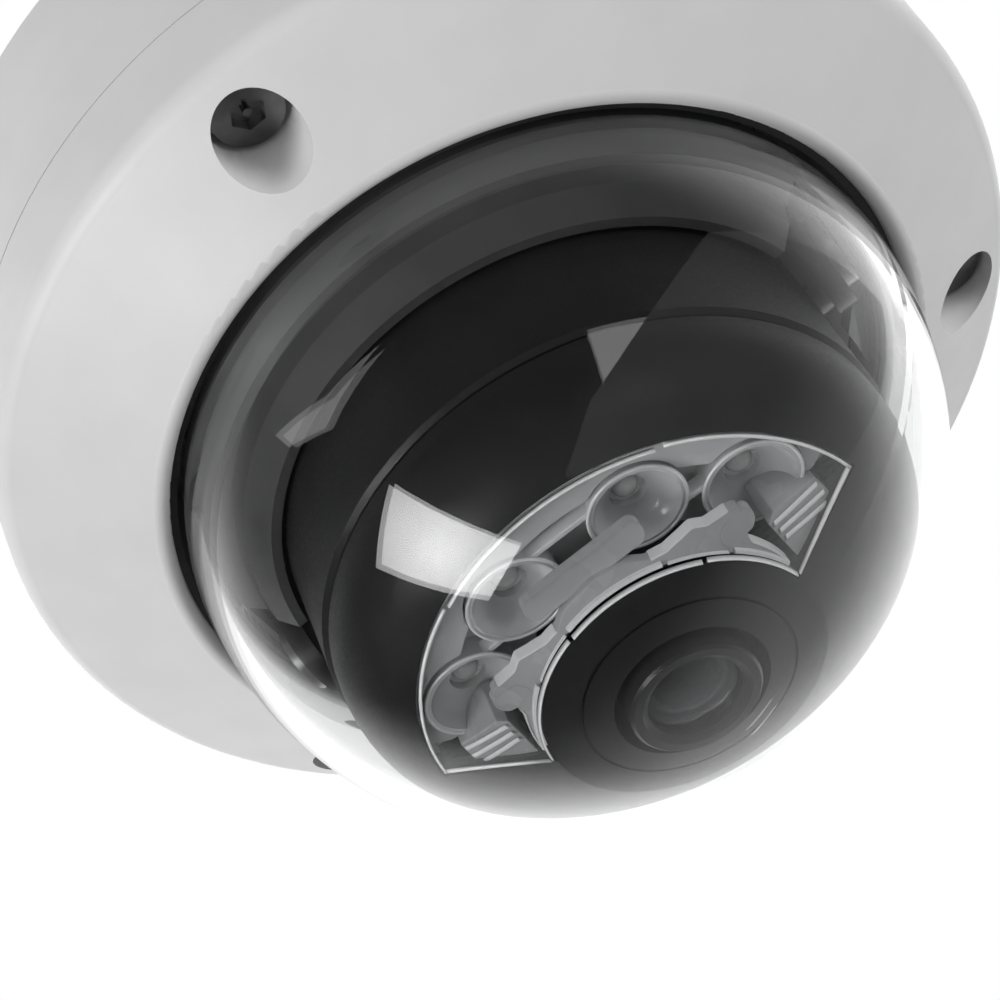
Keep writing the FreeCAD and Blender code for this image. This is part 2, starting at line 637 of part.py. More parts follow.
def lens_inner_element():
    """Second glass of the lens, deep in the barrel."""
    return turned(raised([(0, 30.0), (3.4, 30.0), (3.4, 30.6), cap(3.4, 30.6, 31.6)], DOME_Z))


def lens_front_glass():
    """Front glass, a shallow meniscus."""
    return turned(raised([
        (0, 34.2), cap(GLASS_R, 33.4, 34.2, outwards=True), (GLASS_R, 34.9), cap(GLASS_R, 34.9, 35.6)], DOME_Z))


def lens_light_seal():
    """Soft black ring that keeps the lamps' light out of the lens."""
    return turned(raised([(BARREL_R, 31.0), (9.4, 31.0), (9.4, 31.5), (LENS_HOLE_R, 32.0), (BARREL_R, 32.0)],
                         DOME_Z))


def lens_holder():
    low = DOME_Z + SENSOR_BOARD_H + 1.6
    body = block(-8, 8, -8, 8, low, low + 4).fuse(ring(0, 7.8, low, DOME_Z + 25.0))
    body = body.cut(ring(0, 6.0, DOME_Z + 16.0, DOME_Z + 30)).cut(block(-5, 5, -5, 5, low, low + 2.0))
    return body.cut(ring(0, 4.4, low, DOME_Z + 17)).removeSplitter()


def sensor_board():
    low = DOME_Z + SENSOR_BOARD_H
    board = block(-11.8, 11.8, -11.8, 11.8, low, low + 1.6)
    for x, y in sensor_screw_places():
        board = board.cut(rod(0.75, x, y, low - 1, low + 3))
    return board


def image_sensor():
    low = DOME_Z + SENSOR_BOARD_H + 1.6
    return block(-4.2, 4.2, -4.2, 4.2, low, low + 1.0)


def sensor_connector():
    high = DOME_Z + SENSOR_BOARD_H
    return block(-5, 5, 5.5, 9.5, high - 1.8, high)


PIECES = {
    "base_housing": base_housing,
    "base_seal": base_seal,
    "cable_grommet": cable_grommet,
    "conduit_plug": conduit_plug,
    "main_board": main_board,
    "processor_chip": processor_chip,
    "network_connector": lambda: header(-4.0, -27.6, 14.0, 5.0, 2.6, 8),
    "power_connector": lambda: header(13.0, -27.6, 6.4, 5.0, 2.6, 3),
    "camera_connector": lambda: header(0.0, 15.0, 12.0, 4.0, 2.0, 10),
    "memory_card_slot": memory_card_slot,
    "reset_switch": reset_switch,
    "reset_button": reset_button,
    "pan_bracket": pan_bracket,
    "bracket_screws": bracket_screws,
    "cover_shell": cover_shell,
    "dome_gasket": dome_gasket,
    "dome_bubble": dome_bubble,
    "dome_clamp_ring": dome_clamp_ring,
    "clamp_screws": clamp_screws,
    "cover_screws": cover_screws,
    "pan_friction_ring": pan_friction_ring,
    "pan_turntable": pan_turntable,
    "pan_retainer": pan_retainer,
    "pan_spring_washer": pan_spring_washer,
    "yoke_right": lambda: yoke(1),
    "yoke_left": lambda: yoke(-1),
    "yoke_screws": yoke_screws,
    "inner_liner": inner_liner,
    "tilt_cradle": tilt_cradle,
    "tilt_pins": tilt_pins,
    "tilt_friction_washers": tilt_friction_washers,
    "head_front_shell": head_front_shell,
    "head_retainer": head_retainer,
    "head_retainer_screws": head_retainer_screws,
    "head_rear_cover": head_rear_cover,
    "led_window": led_window,
    "led_reflector_tray": led_reflector_tray,
    "led_board": led_board,
    "led_emitters": led_emitters,
    "led_board_screws": led_board_screws,
    "lens_barrel": lens_barrel,
    "lens_front_glass": lens_front_glass,
    "lens_inner_element": lens_inner_element,
    "lens_light_seal": lens_light_seal,
    "lens_holder": lens_holder,
    "sensor_board": sensor_board,
    "image_sensor": image_sensor,
    "sensor_board_screws": sensor_board_screws,
    "sensor_connector": sensor_connector,
}

os.makedirs("parts", exist_ok=True)
for name, make in PIECES.items():
    shape = make()
    shape.rotate(V(0, 0, 0), V(1, 0, 0), 180)
    shape.exportStep("parts/" + name + ".step")
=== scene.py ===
"""A dome security camera, hanging by its mounting face in a plain pale studio."""

import json
from math import cos, pi, radians, sin, sqrt

import bmesh
import bpy
from mathutils import Matrix, Vector


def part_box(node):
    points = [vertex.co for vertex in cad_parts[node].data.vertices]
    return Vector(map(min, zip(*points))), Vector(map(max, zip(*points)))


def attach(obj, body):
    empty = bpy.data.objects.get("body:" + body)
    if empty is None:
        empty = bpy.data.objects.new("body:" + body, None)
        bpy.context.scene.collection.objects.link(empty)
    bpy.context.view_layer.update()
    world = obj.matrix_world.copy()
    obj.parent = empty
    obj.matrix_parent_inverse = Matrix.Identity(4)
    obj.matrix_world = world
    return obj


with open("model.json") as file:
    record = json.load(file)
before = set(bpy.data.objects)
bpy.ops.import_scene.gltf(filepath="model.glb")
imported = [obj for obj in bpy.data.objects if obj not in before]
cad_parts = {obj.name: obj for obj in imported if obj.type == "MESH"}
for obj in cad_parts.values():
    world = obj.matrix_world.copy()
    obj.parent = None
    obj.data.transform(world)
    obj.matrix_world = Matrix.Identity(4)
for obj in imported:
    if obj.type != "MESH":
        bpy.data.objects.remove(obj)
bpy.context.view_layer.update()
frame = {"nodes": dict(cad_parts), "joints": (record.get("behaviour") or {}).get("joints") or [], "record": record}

MM = 0.001

# the camera that takes the picture: where it stands seen from the dome, and how it is turned
VIEW_AZIMUTH = 13.5         # degrees
VIEW_ELEVATION = -45.1      # degrees
VIEW_ROLL = radians(28.0)
VIEW_DISTANCE = 0.30536     # metres, as are the two shifts
VIEW_RIGHT = -0.00626
VIEW_UP = -0.0043
LENS_MM = 108.0

BOARD_PARTS_R = 36.6       # ring of small parts on the main board, in millimetres

FLOOR_Z = -1.50
FLOOR_HALF = 25.0
CARD_DISTANCE = 0.80

BACKDROP = 1.0
BACKDROP_ON_MATT = 0.40
ROOM_DARKNESS = 0.004
# what polished surfaces see behind the object: direction, first and full share of the glow, brightness
ROOM_GLOWS = (((165, -10), 0.30, 0.90, 0.50), ((180, 50), 0.10, 0.75, 0.98), ((-135, 5), 0.80, 0.99, 0.50))

# the lamp window, in millimetres: radius from the lens axis and height above the tilt axis
WINDOW_INNER = (14.2, 33.2)
WINDOW_OUTER = (24.0, 27.3)
BOWL_R = 5.0
LAMP_SPOTS = ((18.2, -61.5), (16.6, -24.5), (16.6, 24.5), (18.2, 61.5))

TILT_AXIS = Vector(next(j["pos_m"] for j in frame["joints"] if j["name"] == "tilt_turn"))


# ---------------------------------------------------------------- places

def direction(azimuth, elevation):
    """Unit vector from the object; azimuth 0 is -Y and grows towards +X, in degrees."""
    a, e = radians(azimuth), radians(elevation)
    return Vector((sin(a) * cos(e), -cos(a) * cos(e), sin(e)))


def head_point(radius, angle, height):
    """Point of the camera head from its radius and its angle off the middle of the lamp window,
    and its height above the tilt axis, in millimetres and degrees."""
    a = radians(angle)
    return TILT_AXIS + Vector((radius * sin(a), -radius * cos(a), -height)) * MM


def window_height(radius):
    """Height of the outer face of the lamp window at a radius."""
    share = (radius - WINDOW_INNER[0]) / (WINDOW_OUTER[0] - WINDOW_INNER[0])
    return WINDOW_INNER[1] + (WINDOW_OUTER[1] - WINDOW_INNER[1]) * share


# ---------------------------------------------------------------- materials

class Shader:
    """A material with a Principled shader and short ways to feed it."""

    def __init__(self, name, **sockets):
        self.material = bpy.data.materials.new(name)
        self.material.use_nodes = True
        self.tree = self.material.node_tree
        self.bsdf = self.tree.nodes["Principled BSDF"]
        for socket, value in sockets.items():
            self.bsdf.inputs[socket.replace("_", " ")].default_value = value
        self.place = self.node("ShaderNodeTexCoord").outputs["Object"]

    def node(self, kind, **settings):
        """Adds a node with its settings."""
        made = self.tree.nodes.new(kind)
        for key, value in settings.items():
            setattr(made, key, value)
        return made

    def link(self, source, target):
        self.tree.links.new(source, target)

    def noise(self, size_mm, detail=3.0, stretch=(1, 1, 1)):
        """Noise whose features are about size_mm across."""
        scaled = self.node("ShaderNodeMapping")
        scaled.inputs["Scale"].default_value = stretch
        self.link(self.place, scaled.inputs["Vector"])
        noise = self.node("ShaderNodeTexNoise")
        noise.inputs["Scale"].default_value = 1 / (size_mm * MM)
        noise.inputs["Detail"].default_value = detail
        self.link(scaled.outputs["Vector"], noise.inputs["Vector"])
        return noise.outputs["Fac"]

    def cells(self, size_mm, feature="F1"):
        """Voronoi cells about size_mm across."""
        cells = self.node("ShaderNodeTexVoronoi", feature=feature)
        cells.inputs["Scale"].default_value = 1 / (size_mm * MM)
        self.link(self.place, cells.inputs["Vector"])
        return cells.outputs["Distance"]

    def spread(self, source, low, high, start=0.3, end=0.7):
        """Numbers from low to high as the source goes from start to end."""
        ranged = self.node("ShaderNodeMapRange")
        ranged.inputs["From Min"].default_value = start
        ranged.inputs["From Max"].default_value = end
        ranged.inputs["To Min"].default_value = low
        ranged.inputs["To Max"].default_value = high
        self.link(source, ranged.inputs["Value"])
        return ranged.outputs["Result"]

    def ramp(self, source, *stops):
        """Colours along the source; each stop is (position, grey) or (position, (r, g, b))."""
        ramp = self.node("ShaderNodeValToRGB").color_ramp
        while len(ramp.elements) < len(stops):
            ramp.elements.new(0.5)
        for element, (position, colour) in zip(ramp.elements, stops):
            element.position = position
            rgb = (colour,) * 3 if isinstance(colour, (int, float)) else colour
            element.color = (*rgb, 1)
        node = self.tree.nodes[-1]
        self.link(source, node.inputs["Fac"])
        return node.outputs["Color"]

    def colour(self, source):
        self.link(source, self.bsdf.inputs["Base Color"])

    def roughness(self, source):
        self.link(source, self.bsdf.inputs["Roughness"])

    def bump(self, source, depth_mm):
        """Relief depth_mm high where the source is 1."""
        bump = self.node("ShaderNodeBump")
        bump.inputs["Strength"].default_value = 1.0
        bump.inputs["Distance"].default_value = depth_mm * MM
        self.link(source, bump.inputs["Height"])
        self.link(bump.outputs["Normal"], self.bsdf.inputs["Normal"])


def moulded(name, dark, light, rough, grain_mm, grain_depth_mm, **sockets):
    """Moulded or painted surface: a faint mottle, uneven gloss and a fine grain."""
    shader = Shader(name, **sockets)
    shader.colour(shader.ramp(shader.noise(9.0), (0.3, dark), (0.7, light)))
    shader.roughness(shader.spread(shader.noise(4.0, 4.0), rough - 0.04, rough + 0.05))
    shader.bump(shader.noise(grain_mm, 2.0), grain_depth_mm)
    return shader.material


def spark_eroded(name, dark, light, rough, grain_mm, grain_depth_mm, **sockets):
    """Black moulding with the pitted texture of an eroded mould."""
    shader = Shader(name, **sockets)
    shader.colour(shader.ramp(shader.noise(7.0), (0.3, dark), (0.7, light)))
    pits = shader.cells(grain_mm, "SMOOTH_F1")
    shader.roughness(shader.spread(pits, rough + 0.08, rough - 0.06, 0.0, 0.8))
    shader.bump(pits, grain_depth_mm)
    return shader.material


def clear(name, tint, index):
    """Clear polycarbonate with the faintest haze from handling."""
    shader = Shader(name, IOR=index, Base_Color=(*tint, 1), Transmission_Weight=1.0)
    shader.roughness(shader.spread(shader.noise(14.0, 5.0), 0.0, 0.012, 0.55, 0.8))
    shader.bump(shader.noise(22.0, 1.0), 0.0015)
    return shader.material


def metal(name, dark, light, rough, brushed=(1, 1, 1)):
    """Bright metal with a fine drawn or tumbled finish."""
    shader = Shader(name, Metallic=1.0)
    drawn = shader.noise(0.25, 3.0, brushed)
    shader.colour(shader.ramp(shader.noise(3.0), (0.3, dark), (0.7, light)))
    shader.roughness(shader.spread(drawn, rough - 0.06, rough + 0.08))
    shader.bump(drawn, 0.004)
    return shader.material


def board_finish():
    """Dark green solder mask with copper tracks showing through it."""
    shader = Shader("circuit_board", Roughness=0.32, Coat_Weight=0.3, Coat_Roughness=0.2)
    tracks = shader.node("ShaderNodeTexBrick", offset=0.4, squash=0.7, squash_frequency=3)
    tracks.inputs["Scale"].default_value = 260.0
    tracks.inputs["Mortar Size"].default_value = 0.07
    tracks.inputs["Mortar Smooth"].default_value = 0.1
    shader.link(shader.place, tracks.inputs["Vector"])
    mottle = shader.ramp(shader.noise(5.0), (0.35, (0.006, 0.035, 0.018)), (0.65, (0.008, 0.05, 0.025)))
    mix = shader.node("ShaderNodeMix", data_type="RGBA")
    mix.inputs["B"].default_value = (0.014, 0.095, 0.045, 1)
    shader.link(tracks.outputs["Fac"], mix.inputs["Factor"])
    shader.link(mottle, mix.inputs[6])
    shader.colour(mix.outputs[2])
    shader.bump(tracks.outputs["Fac"], 0.02)
    return shader.material


def turned_finish(name, dark, light, rough, pitch_mm, depth_mm, **sockets):
    """Finish of a part turned about the lens axis: fine rings."""
    shader = Shader(name, **sockets)
    rings = shader.node("ShaderNodeTexWave", wave_type="RINGS", rings_direction="Z")
    rings.inputs["Scale"].default_value = 1 / (pitch_mm * MM) / 3
    rings.inputs["Distortion"].default_value = 0.2
    shader.link(shader.place, rings.inputs["Vector"])
    shader.colour(shader.ramp(shader.noise(3.0), (0.3, dark), (0.7, light)))
    shader.roughness(shader.spread(shader.noise(1.5), rough - 0.04, rough + 0.04))
    shader.bump(rings.outputs["Fac"], depth_mm)
    return shader.material


def coated_glass():
    """Lens glass with a coating that turns faintly blue and violet towards its edge."""
    shader = Shader("lens_glass", IOR=1.42, Transmission_Weight=1.0, Roughness=0.0)
    facing = shader.node("ShaderNodeLayerWeight")
    facing.inputs["Blend"].default_value = 0.4
    middle, edge = (0.66, 0.70, 0.74), (0.46, 0.48, 0.60)
    shader.colour(shader.ramp(facing.outputs["Facing"], (0.0, middle), (1.0, edge)))
    shader.roughness(shader.spread(shader.noise(3.0), 0.0, 0.02))
    return shader.material


def emitter_finish():
    """Lamp chip under its small clear dome."""
    shader = Shader("lamp_body", Roughness=0.12, Coat_Weight=0.6, IOR=1.5)
    shader.colour(shader.ramp(shader.noise(0.8), (0.35, (0.72, 0.72, 0.71)), (0.65, (0.82, 0.82, 0.80))))
    shader.bump(shader.noise(0.5), 0.01)
    return shader.material


def make_finishes():
    """The finish of each of the record's material slots."""
    black = dict(IOR=1.49)
    return {
        "white_housing": moulded("white_housing", 0.70, 0.735, 0.42, 0.45, 0.006),
        "black_rubber": moulded("black_rubber", 0.010, 0.018, 0.55, 0.25, 0.012),
        "white_plastic": moulded("white_plastic", 0.66, 0.70, 0.36, 0.4, 0.006),
        "circuit_board": board_finish(),
        "chip_black": moulded("chip_black", 0.018, 0.03, 0.5, 0.12, 0.006),
        "connector_ivory": moulded("connector_ivory", (0.62, 0.57, 0.45), (0.70, 0.65, 0.53),
                                   0.35, 0.3, 0.005),
        "sheet_steel": metal("sheet_steel", 0.50, 0.58, 0.34, (1, 12, 1)),
        "screw_steel": metal("screw_steel", 0.20, 0.28, 0.34),
        "clear_dome": clear("clear_dome", (0.985, 0.99, 0.99), 1.585),
        "clear_window": clear("clear_window", (0.93, 0.94, 0.95), 1.49),
        "slip_plastic": moulded("slip_plastic", 0.05, 0.07, 0.3, 0.3, 0.004),
        "black_plastic": spark_eroded("black_plastic", 0.008, 0.013, 0.44, 0.30, 0.002, **black),
        "dark_liner": spark_eroded("dark_liner", 0.044, 0.056, 0.46, 0.30, 0.002, **black),
        "lamp_reflector": moulded("lamp_reflector", 0.72, 0.78, 0.18, 0.8, 0.003, Metallic=0.2),
        "lamp_body": emitter_finish(),
        "lens_black": turned_finish("lens_black", 0.008, 0.012, 0.34, 1.0, 0.002, IOR=1.45),
        "lens_glass": coated_glass(),
    }


def dress(node, finish):
    """Puts a finish on a CAD node, whose mesh stays as it is."""
    for slot in frame["nodes"][node].material_slots:
        slot.material = finish


# ---------------------------------------------------------------- mesh work

def finished(name, body, slot, finish, vertices, faces, smooth=True):
    """A mesh piece of the object, riding on a body."""
    mesh = bpy.data.meshes.new(name)
    mesh.from_pydata([tuple(v) for v in vertices], [], faces)
    tidy = bmesh.new()
    tidy.from_mesh(mesh)
    bmesh.ops.remove_doubles(tidy, verts=tidy.verts, dist=1e-7)
    bmesh.ops.recalc_face_normals(tidy, faces=tidy.faces)
    tidy.to_mesh(mesh)
    tidy.free()
    mesh.materials.append(finish)
    for polygon in mesh.polygons:
        polygon.use_smooth = smooth
    piece = bpy.data.objects.new(name, mesh)
    bpy.context.scene.collection.objects.link(piece)
    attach(piece, body)
    return piece


def soften(piece, width_mm, segments=2):
    """Rounds the sharp edges of a piece."""
    bevel = piece.modifiers.new("soft edges", "BEVEL")
    bevel.width = width_mm * MM
    bevel.segments = segments
    bevel.limit_method = "ANGLE"
    bevel.angle_limit = radians(35)
    bevel.harden_normals = True
    return piece


def loft(sections):
    """Vertices and faces of a solid through equal sections, with flat ends."""
    size = len(sections[0])
    count = len(sections)
    vertices = [point for section in sections for point in section]
    faces = []
    for a in range(0, (count - 1) * size, size):
        for i in range(size):
            j = (i + 1) % size
            faces.append((a + i, a + j, a + size + j, a + size + i))
    faces.append(tuple(range(size)))
    faces.append(tuple(range((count - 1) * size, count * size)))
    return vertices, faces


def lamp_piece(name, sections, finish, edge_mm=0.0, smooth=True):
    """Piece of the lamp window, lofted through its sections; edge_mm rounds its edges."""
    piece = finished(name, "head", "lamp_reflector", finish, *loft(sections), smooth=smooth)
    if edge_mm:
        soften(piece, edge_mm)


def angles_between(start, end, step=2.0):
    """Evenly spaced angles from start to end, about step apart."""
    count = max(2, int(abs(end - start) / step) + 1)
    return [start + (end - start) * k / (count - 1) for k in range(count)]


# ---------------------------------------------------------------- stage

def build_camera():
    """The photo's view of the dome."""
    towards = direction(VIEW_AZIMUTH, VIEW_ELEVATION)
    level_right = (-towards).cross(Vector((0, 0, 1))).normalized()
    level_up = level_right.cross(-towards)
    right = level_right * cos(VIEW_ROLL) - level_up * sin(VIEW_ROLL)
    up = level_up * cos(VIEW_ROLL) + level_right * sin(VIEW_ROLL)
    place = TILT_AXIS + right * VIEW_RIGHT + up * VIEW_UP + towards * VIEW_DISTANCE
    data = bpy.data.cameras.new("view")
    data.lens = LENS_MM
    data.sensor_width = 36.0
    data.clip_start = 0.01
    camera = bpy.data.objects.new("view", data)
    turn = Matrix((right, up, towards)).transposed()
    camera.matrix_world = Matrix.Translation(place) @ turn.to_4x4()
    bpy.context.scene.collection.objects.link(camera)
    bpy.context.scene.camera = camera


def room_glow(tree):
    """Brightness of the room that polished surfaces see: the sum of a few soft glows."""
    place = tree.nodes.new("ShaderNodeTexCoord")
    room = None
    for towards, start, end, brightness in ROOM_GLOWS:
        along = tree.nodes.new("ShaderNodeVectorMath")
        along.operation = "DOT_PRODUCT"
        along.inputs[1].default_value = direction(*towards)
        tree.links.new(place.outputs["Generated"], along.inputs[0])
        glow = tree.nodes.new("ShaderNodeMapRange")
        glow.interpolation_type = "SMOOTHSTEP"
        glow.inputs["From Min"].default_value = start
        glow.inputs["From Max"].default_value = end
        glow.inputs["To Min"].default_value = ROOM_DARKNESS
        glow.inputs["To Max"].default_value = brightness
        tree.links.new(along.outputs["Value"], glow.inputs["Value"])
        total = tree.nodes.new("ShaderNodeMath")
        total.inputs[1].default_value = 0.0
        tree.links.new(glow.outputs["Result"], total.inputs[0])
        if room is not None:
            tree.links.new(room, total.inputs[1])
        room = total.outputs["Value"]
    return room


def build_world():
    """White backdrop, softer on matt surfaces; polished surfaces see a dark room with a few glows."""
    world = bpy.data.worlds.new("studio")
    world.use_nodes = True
    world.cycles.sampling_method = "NONE"
    bpy.context.scene.world = world
    tree = world.node_tree
    background = tree.nodes["Background"]
    background.inputs["Color"].default_value = (1, 1, 1, 1)
    path = tree.nodes.new("ShaderNodeLightPath")
    soft = tree.nodes.new("ShaderNodeMix")
    soft.inputs["A"].default_value = BACKDROP
    soft.inputs["B"].default_value = BACKDROP_ON_MATT
    tree.links.new(path.outputs["Diffuse Depth"], soft.inputs["Factor"])
    chosen = tree.nodes.new("ShaderNodeMix")
    tree.links.new(path.outputs["Glossy Depth"], chosen.inputs["Factor"])
    tree.links.new(soft.outputs["Result"], chosen.inputs["A"])
    tree.links.new(room_glow(tree), chosen.inputs["B"])
    tree.links.new(chosen.outputs["Result"], background.inputs["Strength"])


def build_floor():
    """Plain pale floor far below the camera."""
    half = FLOOR_HALF
    mesh = bpy.data.meshes.new("floor")
    corners = [(-half, -half, FLOOR_Z), (half, -half, FLOOR_Z), (half, half, FLOOR_Z), (-half, half, FLOOR_Z)]
    mesh.from_pydata(corners, [], [(0, 1, 2, 3)])
    shader = Shader("floor_paper", Roughness=0.9, Specular_IOR_Level=0.1, Emission_Strength=0.48)
    shader.bsdf.inputs["Emission Color"].default_value = (1, 1, 1, 1)
    shader.colour(shader.ramp(shader.noise(40.0), (0.3, 0.78), (0.7, 0.80)))
    mesh.materials.append(shader.material)
    floor = bpy.data.objects.new("floor", mesh)
    bpy.context.scene.collection.objects.link(floor)
    floor.visible_diffuse = False
    floor.visible_glossy = False
    floor.visible_transmission = False


def card(name, corners, brightness, edge_share=1.0, through_glass=True):
    """Light card, seen in reflections.  Its corners are directions from the dome, and edge_share is how
    bright it is at its edge.  through_glass lets it light the lamp bowls behind the window."""
    points = [TILT_AXIS + direction(*corner) * CARD_DISTANCE for corner in corners]
    centre = sum(points, Vector()) / len(points)
    reach = max((p - centre).length for p in points)
    mesh = bpy.data.meshes.new(name)
    mesh.from_pydata([tuple(p - centre) for p in points], [], [tuple(range(len(points)))])
    shader = Shader(name)
    emission = shader.node("ShaderNodeEmission")
    distance = shader.node("ShaderNodeVectorMath", operation="LENGTH")
    shader.link(shader.place, distance.inputs[0])
    glow = shader.spread(distance.outputs["Value"], brightness, brightness * edge_share, 0.1 * reach, reach)
    shader.link(glow, emission.inputs["Strength"])
    shader.link(emission.outputs["Emission"], shader.tree.nodes["Material Output"].inputs["Surface"])
    mesh.materials.append(shader.material)
    panel = bpy.data.objects.new(name, mesh)
    panel.location = centre
    bpy.context.scene.collection.objects.link(panel)
    panel.visible_camera = False
    panel.visible_diffuse = False
    panel.visible_shadow = False
    panel.visible_transmission = through_glass


def soft_light(name, azimuth, elevation, distance, size, power):
    """Round soft light; reflections show the cards instead of it."""
    data = bpy.data.lights.new(name, "AREA")
    data.shape = "DISK"
    data.size = size
    data.energy = power
    lamp = bpy.data.objects.new(name, data)
    towards = direction(azimuth, elevation)
    lamp.location = TILT_AXIS + towards * distance
    lamp.rotation_euler = towards.to_track_quat("Z", "Y").to_euler()
    lamp.visible_camera = False
    lamp.visible_transmission = False
    lamp.visible_glossy = False
    bpy.context.scene.collection.objects.link(lamp)


def build_lighting():
    """Cards where the photo has its reflections, and two soft lights for the matt surfaces."""
    build_world()
    card("card_left", [(-36, -16), (-28, -55), (-58, -51), (-59, -20)], 7.5, 0.55)
    card("card_small", [(35, -15), (52, -14), (35, -30)], 1.4)
    card("card_right", [(52, -14), (29, -34), (9, -50), (80, -60), (120, -30), (128, 20), (75, 12)], 0.28,
         through_glass=False)
    card("card_high", [(-14, 12), (-33, 14), (-52, 22), (-50, 16), (-38, 8.5)], 1.3)
    card("card_back", [(-173, -23), (-174.5, -23), (178.5, -27), (179.5, -27)], 3.0)
    soft_light("key", azimuth=-60, elevation=-20, distance=0.9, size=0.5, power=5.0)
    soft_light("fill", azimuth=70, elevation=-10, distance=1.0, size=0.6, power=4.6)


# ---------------------------------------------------------------- lamp window

# outer edge of the lamp shield: angle off the middle of the window, radius
SHIELD_OUTLINE = (
    (0, 15.6), (13, 15.4), (20, 14.8), (27, 15.0), (33, 15.7), (37, 16.3), (42, 16.3),
    (46, 16.8), (50.5, 17.5), (53, 17.6), (56, 15.8), (59, 15.0), (70, 14.7), (78, 14.4))
SHIELD_INNER_R = 13.0
SHIELD_DROP = 1.45          # below the window's outer face, as are the other drops
SHIELD_T = 1.1
BOWL_WALL = 0.12
BLOCK_DROP = 1.9
BLOCK_FOOT = 24.4           # height of the end blocks' feet above the tilt axis
RIB_R = 0.32
RIB_DROP = 1.93


def shield_edge(angle):
    """Outer radius of the lamp shield: it waves round the bowls."""
    a = abs(angle)
    for (a0, r0), (a1, r1) in zip(SHIELD_OUTLINE, SHIELD_OUTLINE[1:]):
        if a <= a1:
            return r0 + (r1 - r0) * (a - a0) / (a1 - a0)
    return SHIELD_OUTLINE[-1][1]


def sloped_section(inner, outer, angle, drop, thickness):
    """Section of a thin plate that lies drop below the window's outer face."""
    corners = ((inner, 0), (outer, 0), (outer, thickness), (inner, thickness))
    return [head_point(r, angle, window_height(r) - drop - t) for r, t in corners]


def build_lamp_shield(finish):
    """Grey moulding under the window that keeps the lamps' light off the lens."""
    sections = [sloped_section(SHIELD_INNER_R, shield_edge(a), a, SHIELD_DROP, SHIELD_T)
                for a in angles_between(-78, 78, 1.5)]
    lamp_piece("lamp_shield", sections, finish, 0.12)
    bars = (((17.2, -19.0), (17.2, 19.0)), ((15.4, -50.0), (16.6, -55.5)), ((15.4, 50.0), (16.6, 55.5)))
    for k, (start, end) in enumerate(bars):
        build_tongue("lamp_shield_tongue_%d" % k, start, end, 0.95, finish)


def build_shield_edge_highlights(finish):
    """Raised edge along the waves of the shield, and the step along its inner side, both in a light grey: painted
    highlights on the shield's edges.
    """
    for k, (start, end) in enumerate(((-78, -57.5), (-49, -21), (21, 49), (57.5, 78))):
        sections = []
        for a in angles_between(start, end, 1.0):
            outer = shield_edge(a) + 0.05
            sections.append(sloped_section(outer - 0.16, outer, a, drop=1.36, thickness=1.2))
        lamp_piece("lamp_shield_edge_%d" % k, sections, finish, 0.05)
    steps = ((-77, -44, 14.45), (-42, -20, 14.2), (-18, 24, 14.45), (26, 50, 14.2), (52, 77, 14.45))
    for k, (start, end, outer) in enumerate(steps):
        sections = [sloped_section(13.9, outer, a, drop=1.04, thickness=0.6)
                    for a in angles_between(start, end, 1.5)]
        lamp_piece("lamp_shield_step_%d" % k, sections, finish, 0.08)


def build_tongue(name, start, end, half_width, finish):
    """Round-ended bar of the shield, from one polar place to the other."""
    drop = SHIELD_DROP - 0.05
    a, b = head_point(*start, 0), head_point(*end, 0)
    along = (b - a).normalized()
    across = along.cross(Vector((0, 0, 1)))
    turn = radians(15)
    outline = [b + (along * cos(k * turn) + across * sin(k * turn)) * half_width * MM for k in range(-6, 7)]
    outline += [a - (along * cos(k * turn) + across * sin(k * turn)) * half_width * MM for k in range(-6, 7)]
    top, bottom = [], []
    for point in outline:
        flat = Vector((point.x - TILT_AXIS.x, point.y - TILT_AXIS.y))
        height = window_height(flat.length / MM) - drop
        top.append(Vector((point.x, point.y, TILT_AXIS.z - height * MM)))
        bottom.append(Vector((point.x, point.y, TILT_AXIS.z - (height - SHIELD_T) * MM)))
    size = len(outline)
    vertices = top + bottom
    faces = [(i, (i + 1) % size, size + (i + 1) % size, size + i) for i in range(size)]
    for side in (0, size):
        for i in range(size // 2 - 1):
            faces.append((side + i, side + i + 1, side + size - 2 - i, side + size - 1 - i))
    soften(finished(name, "head", "lamp_reflector", finish, vertices, faces), 0.15)


def bowl_edge(angle):
    """Radius at which a ray from the lens axis leaves the bowl that it crosses, or 0."""
    edge = 0.0
    for spot_radius, spot_angle in LAMP_SPOTS:
        off = radians(angle - spot_angle)
        room = BOWL_R ** 2 - (spot_radius * sin(off)) ** 2
        if room > 0 and cos(off) > 0:
            edge = max(edge, spot_radius * cos(off) + sqrt(room))
    return edge


def build_outer_plate(finish):
    """Light plate between the bowls and the outer edge of the window."""
    sections = []
    for a in angles_between(-76, 76, 1.0):
        inner = min(23.2, max(19.6, bowl_edge(a)))
        corners = ((inner, 26.1), (max(inner + 0.2, 21.6), 26.1), (23.6, 25.35), (23.6, 24.6), (inner, 24.6))
        sections.append([head_point(r, a, h) for r, h in corners])
    lamp_piece("lamp_outer_plate", sections, finish, 0.08)


